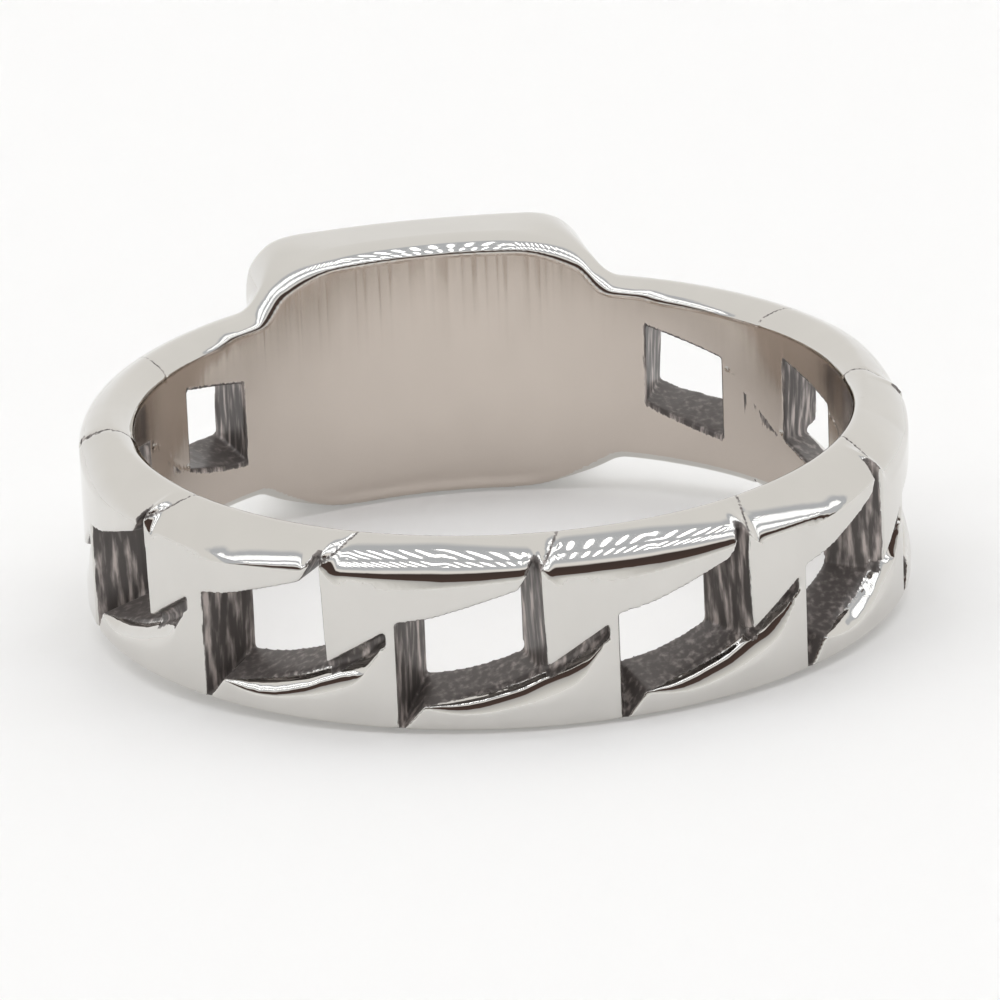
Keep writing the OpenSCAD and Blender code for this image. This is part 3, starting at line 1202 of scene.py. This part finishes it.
@dataclass
class ChainRing:
    """The whole ring: strip, cuts, bend, soft cast edges and place."""

    blank: Blank = field(default_factory=Blank)
    # Degrees between the cuts across the strip, and how far they lie beside the outlines
    step: float = 1.5
    slice_shift: float = 0.013
    # How close points at the bent strip's two ends are joined
    weld: float = 0.002
    grain: float = 0.05
    quick_grain: float = 1.6
    # Rounds of smoothing that soften the edges, and the most triangles that are kept
    soften: int = 6
    most_triangles: int = 190000
    # How far outside the bore a face may reach to be bore, and how deep in the oxide to be oxide
    bore_skin: float = 0.02
    oxide_depth: float = 0.045
    # How the ring leans as it rests, in degrees, and where its middle then lies
    lean: float = 3.086
    lift: float = 3.2288
    shift_y: float = -0.6469
    finishes: Tuple[Steel, ...] = (
        Steel("polished_steel", (0.68, 0.664, 0.635), 0.03, 0.0000001),
        Steel("oxidised_steel", (0.09, 0.08, 0.076), 0.36, 0.000004),
        Steel("satin_bore", (0.61, 0.545, 0.49), 0.16, 0.0000004),
    )

    def build(self) -> bpy.types.Object:
        """Makes the ring and gives it its finishes.

        Returns:
            The ring, in metres and as it rests.
        """
        ring = self.blank.build()
        ring.name = "ring_body"
        windows, grooves = Windows(self.blank.links), Grooves(self.blank.links)
        seams = Seams(self.blank)
        for maker in (windows, Flanks(self.blank.links), grooves, seams):
            cutter = maker.build()
            name = cutter.name
            cut(ring, cutter)
            log.info("%s cut, %d faces", name, len(ring.data.polygons))
        self.open_ends(ring)
        self.slice(ring)
        self.bend(ring)
        self.cast(ring)
        self.finish(ring, OxideMap(windows, grooves, seams))
        self.place(ring)
        return ring

    def open_ends(self, ring: bpy.types.Object) -> None:
        """Deletes the strip's end faces, which meet when it is bent.

        Args:
            ring: The cut strip.
        """
        only(ring)
        bpy.ops.object.mode_set(mode="EDIT")
        bpy.ops.mesh.select_mode(type="FACE")
        bpy.ops.mesh.select_all(action="DESELECT")
        mesh = bmesh.from_edit_mesh(ring.data)
        for face in mesh.faces:
            face.select_set(abs(abs(face.calc_center_median().x) - along(180.0)) < 1e-3)
        bmesh.update_edit_mesh(ring.data)
        bpy.ops.mesh.delete(type="FACE")
        bpy.ops.object.mode_set(mode="OBJECT")

    def slice(self, ring: bpy.types.Object) -> None:
        """Cuts the long faces across, so that they bend smoothly.

        Args:
            ring: The open strip.
        """
        only(ring)
        bpy.ops.object.mode_set(mode="EDIT")
        count = round(360.0 / self.step)
        for i in range(1, count):
            bpy.ops.mesh.select_all(action="SELECT")
            x = along(-180.0 + i * self.step + self.slice_shift)
            bpy.ops.mesh.bisect(plane_co=(x, 0, 0), plane_no=(1, 0, 0))
        bpy.ops.object.mode_set(mode="OBJECT")

    def bend(self, ring: bpy.types.Object) -> None:
        """Bends the strip into a ring and closes it.

        Args:
            ring: The open strip.
        """
        modifier = ring.modifiers.new("bend", "SIMPLE_DEFORM")
        modifier.deform_method = "BEND"
        modifier.deform_axis = "Z"
        modifier.angle = math.tau
        apply_modifier(ring, modifier)
        only(ring)
        bpy.ops.object.mode_set(mode="EDIT")
        bpy.ops.mesh.select_all(action="SELECT")
        bpy.ops.transform.translate(value=(0, -STRIP_R, 0))
        bpy.ops.mesh.select_mode(type="VERT")
        bpy.ops.mesh.select_all(action="DESELECT")
        bpy.ops.mesh.select_non_manifold()
        bpy.ops.mesh.remove_doubles(threshold=self.weld)
        bpy.ops.object.mode_set(mode="OBJECT")

    def cast(self, ring: bpy.types.Object) -> None:
        """Turns the ring into one skin with the soft edges of a casting.

        Args:
            ring: The closed ring.
        """
        remesh = ring.modifiers.new("skin", "REMESH")
        remesh.mode = "VOXEL"
        remesh.voxel_size = self.grain * 1.0
        remesh.use_smooth_shade = True
        apply_modifier(ring, remesh)
        log.info("skin of %d faces", len(ring.data.polygons))
        smooth = ring.modifiers.new("soften", "SMOOTH")
        smooth.factor = 0.5
        smooth.iterations = self.soften
        apply_modifier(ring, smooth)
        only(ring)
        bpy.ops.object.duplicate()
        fine = bpy.context.object
        decimate = ring.modifiers.new("lighter", "DECIMATE")
        decimate.ratio = min(1.0, self.most_triangles / (2.0 * len(ring.data.polygons)))
        apply_modifier(ring, decimate)
        log.info("%d faces kept", len(ring.data.polygons))
        transfer = ring.modifiers.new("shade", "DATA_TRANSFER")
        transfer.object = fine
        transfer.use_loop_data = True
        transfer.data_types_loops = {"CUSTOM_NORMAL"}
        transfer.loop_mapping = "POLYINTERP_NEAREST"
        apply_modifier(ring, transfer)
        bpy.data.objects.remove(fine)

    def finish(self, ring: bpy.types.Object, oxide: OxideMap) -> None:
        """Marks where the oxide is and gives each face its material.

        Args:
            ring: The ring, before it is leaned.
            oxide: Where the oxide lies.
        """
        mesh = ring.data
        mesh.materials.clear()
        for finish in self.finishes:
            mesh.materials.append(finish.material())
        points = np.empty(len(mesh.vertices) * 3, dtype=np.float32)
        mesh.vertices.foreach_get("co", points)
        points = points.reshape(-1, 3)
        distance = oxide.distance(points)
        layer = mesh.attributes.new("oxide", "FLOAT", "POINT")
        layer.data.foreach_set("value", distance.astype(np.float32))
        corners = np.empty(len(mesh.loops), dtype=np.int32)
        mesh.loops.foreach_get("vertex_index", corners)
        starts = np.empty(len(mesh.polygons), dtype=np.int32)
        mesh.polygons.foreach_get("loop_start", starts)
        radius = np.hypot(points[:, 0], points[:, 1])
        slots = np.full(len(mesh.polygons), Slot.POLISHED.value, dtype=np.int32)
        farthest = np.maximum.reduceat(radius[corners], starts)
        slots[farthest < self.blank.band.bore_r + self.bore_skin] = Slot.BORE.value
        slots[np.maximum.reduceat(distance[corners], starts) < -self.oxide_depth] = Slot.OXIDE.value
        mesh.polygons.foreach_set("material_index", slots)
        mesh.update()

    def place(self, ring: bpy.types.Object) -> None:
        """Leans the ring as it rests, lifts it onto the floor and turns millimetres into metres.

        Args:
            ring: The finished ring.
        """
        lean = Matrix.Rotation(math.radians(self.lean), 4, "X")
        there = Matrix.Translation((0, self.shift_y, self.lift))
        ring.data.transform(Matrix.Scale(MM, 4) @ there @ lean)
        ring.data.update()


@dataclass
class Studio:
    """The pale floor, the soft lights and the camera."""

    ring: ChainRing
    azimuth: float = -10.4
    elevation: float = 20.44
    roll: float = -2.33
    distance: float = 198.0
    lens: float = 256.53
    shift: Point2 = (0.00417, -0.0115)
    # The room's brightness by the angle up from the front horizon, over the top and down behind
    room: Tuple[Tuple[float, Point3], ...] = (
        (0.0, (0.98, 0.97, 0.95)), (12.0, (0.76, 0.75, 0.72)), (24.0, (0.6, 0.595, 0.58)),
        (32.0, (0.52, 0.51, 0.5)), (35.0, (0.09, 0.06, 0.05)), (64.0, (0.07, 0.05, 0.045)),
        (67.0, (1.0, 0.96, 0.92)), (71.0, (1.0, 0.98, 0.96)), (74.0, (0.62, 0.64, 0.67)),
        (106.0, (0.6, 0.62, 0.65)), (110.0, (0.92, 0.905, 0.88)), (150.0, (0.92, 0.905, 0.88)),
        (180.0, (1.0, 1.0, 1.0)),
    )
    # Strength of the room's light, by which its colours are divided to fit a colour ramp
    room_peak: float = 1.5
    # Rows of small round lights overhead: place behind the ring, shift, half the depth, and step
    light_rows: Tuple[Tuple[float, float, float, float], ...] = (
        (0.12, 0.0, 0.095, 0.038), (-0.115, 0.45, 0.08, 0.032),
    )
    light_half_w: float = 0.2
    light_slant: float = 0.09
    light_power: float = 3.0
    # Least height above the horizon at which the lights show
    light_low: float = 0.3
    # The soft light over the floor, in watts and metres
    fill_power: float = 4.5
    fill_size: float = 1.6
    fill_height: float = 0.9
    floor_size: float = 3.0
    floor_tint: Point3 = (0.92, 0.92, 0.915)

    def camera(self) -> None:
        """Sets the camera where it sees the ring from the photo's angle."""
        a, e, roll = (math.radians(v) for v in (self.azimuth, self.elevation, self.roll))
        back = Vector((math.sin(a) * math.cos(e), -math.cos(a) * math.cos(e), math.sin(e)))
        right = Vector((math.cos(a), math.sin(a), 0.0))
        up = back.cross(right)
        turned_right = math.cos(roll) * right + math.sin(roll) * up
        turned_up = math.cos(roll) * up - math.sin(roll) * right
        turn = Matrix((turned_right, turned_up, back)).transposed().to_4x4()
        stand = Matrix.Translation(back * self.distance) @ turn
        lean = Matrix.Rotation(math.radians(self.ring.lean), 4, "X")
        there = Matrix.Translation((0, self.ring.shift_y, self.ring.lift))
        world = there @ lean @ stand
        data = bpy.data.cameras.new("camera")
        data.lens = self.lens
        data.sensor_width = 36.0
        data.shift_x, data.shift_y = self.shift
        data.clip_start, data.clip_end = 0.01, 20.0
        camera = bpy.data.objects.new("camera", data)
        bpy.context.scene.collection.objects.link(camera)
        camera.matrix_world = Matrix.Translation(world.translation * MM) @ world.to_3x3().to_4x4()
        bpy.context.scene.camera = camera

    def floor(self) -> None:
        """Lays the pale floor."""
        bpy.ops.object.select_all(action="DESELECT")
        bpy.ops.mesh.primitive_plane_add(size=self.floor_size)
        floor = bpy.context.object
        floor.name = "floor"
        material = bpy.data.materials.new("pale_floor")
        material.use_nodes = True
        shader = material.node_tree.nodes["Principled BSDF"]
        shader.inputs["Base Color"].default_value = (*self.floor_tint, 1.0)
        shader.inputs["Roughness"].default_value = 0.9
        shader.inputs["Specular IOR Level"].default_value = 0.1
        floor.data.materials.append(material)

    def fill(self) -> None:
        """Hangs a wide soft light over the floor, which the metal doesn't mirror."""
        data = bpy.data.lights.new("fill", "AREA")
        data.shape = "SQUARE"
        data.size = self.fill_size
        data.energy = self.fill_power
        fill = bpy.data.objects.new("fill", data)
        fill.location = (0.0, 0.0, self.fill_height)
        fill.visible_glossy = False
        data.use_shadow = False
        bpy.context.scene.collection.objects.link(fill)

    def world(self) -> None:
        """Paints the room that the metal mirrors: pale walls, a dark gap and rows of small lights."""
        world = bpy.data.worlds.new("room")
        bpy.context.scene.world = world
        world.use_nodes = True
        graph = Graph(world.node_tree)
        split = graph.add("SeparateXYZ")
        graph.link(graph.add("TexCoord").outputs["Generated"], split.inputs[0])
        x, y, z = split.outputs
        turn = graph.math("ARCTAN2", z, graph.math("MULTIPLY", y, -1.0))
        stops = [(angle / 180.0, tuple(c / self.room_peak for c in colour)) for angle, colour in self.room]
        walls = graph.ramp(graph.math("DIVIDE", turn, math.pi), stops)
        behind = graph.math("DIVIDE", y, z)
        slanted = graph.math("MULTIPLY", behind, self.light_slant)
        across = graph.math("SUBTRACT", graph.math("DIVIDE", x, z), slanted)
        lights = None
        for place, shift, half_deep, between in self.light_rows:
            step = graph.math("ADD", graph.math("DIVIDE", across, between), shift)
            cell = graph.math("SUBTRACT", graph.math("FRACT", step), 0.5)
            wide = graph.math("POWER", graph.math("DIVIDE", cell, self.light_half_w), 2.0)
            past = graph.math("SUBTRACT", behind, place)
            deep = graph.math("POWER", graph.math("DIVIDE", past, half_deep), 2.0)
            lit = graph.math("LESS_THAN", graph.math("ADD", wide, deep), 1.0)
            lights = lit if lights is None else graph.math("MAXIMUM", lights, lit)
        overhead = graph.math("MULTIPLY", lights, graph.math("GREATER_THAN", z, self.light_low))
        share = graph.math("MULTIPLY", overhead, self.light_power / self.room_peak)
        glow = graph.add("VectorMath", operation="ADD")
        graph.link(walls, glow.inputs[0])
        graph.link(share, glow.inputs[1])
        background = world.node_tree.nodes["Background"]
        graph.link(glow.outputs[0], background.inputs["Color"])
        background.inputs["Strength"].default_value = self.room_peak


def main() -> None:
    """Builds the ring and its studio, and hands the ring to the frame."""
    logging.basicConfig(level=logging.INFO, format="%(name)s: %(message)s")
    bpy.context.scene.view_settings.view_transform = "Standard"
    chain_ring = ChainRing()
    ring = chain_ring.build()
    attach(ring, "root")
    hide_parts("ring")
    log.info("%s: %d faces", ring.name, len(ring.data.polygons))
    studio = Studio(chain_ring)
    studio.floor()
    studio.fill()
    studio.world()
    studio.camera()


if __name__ == "__main__":
    main()
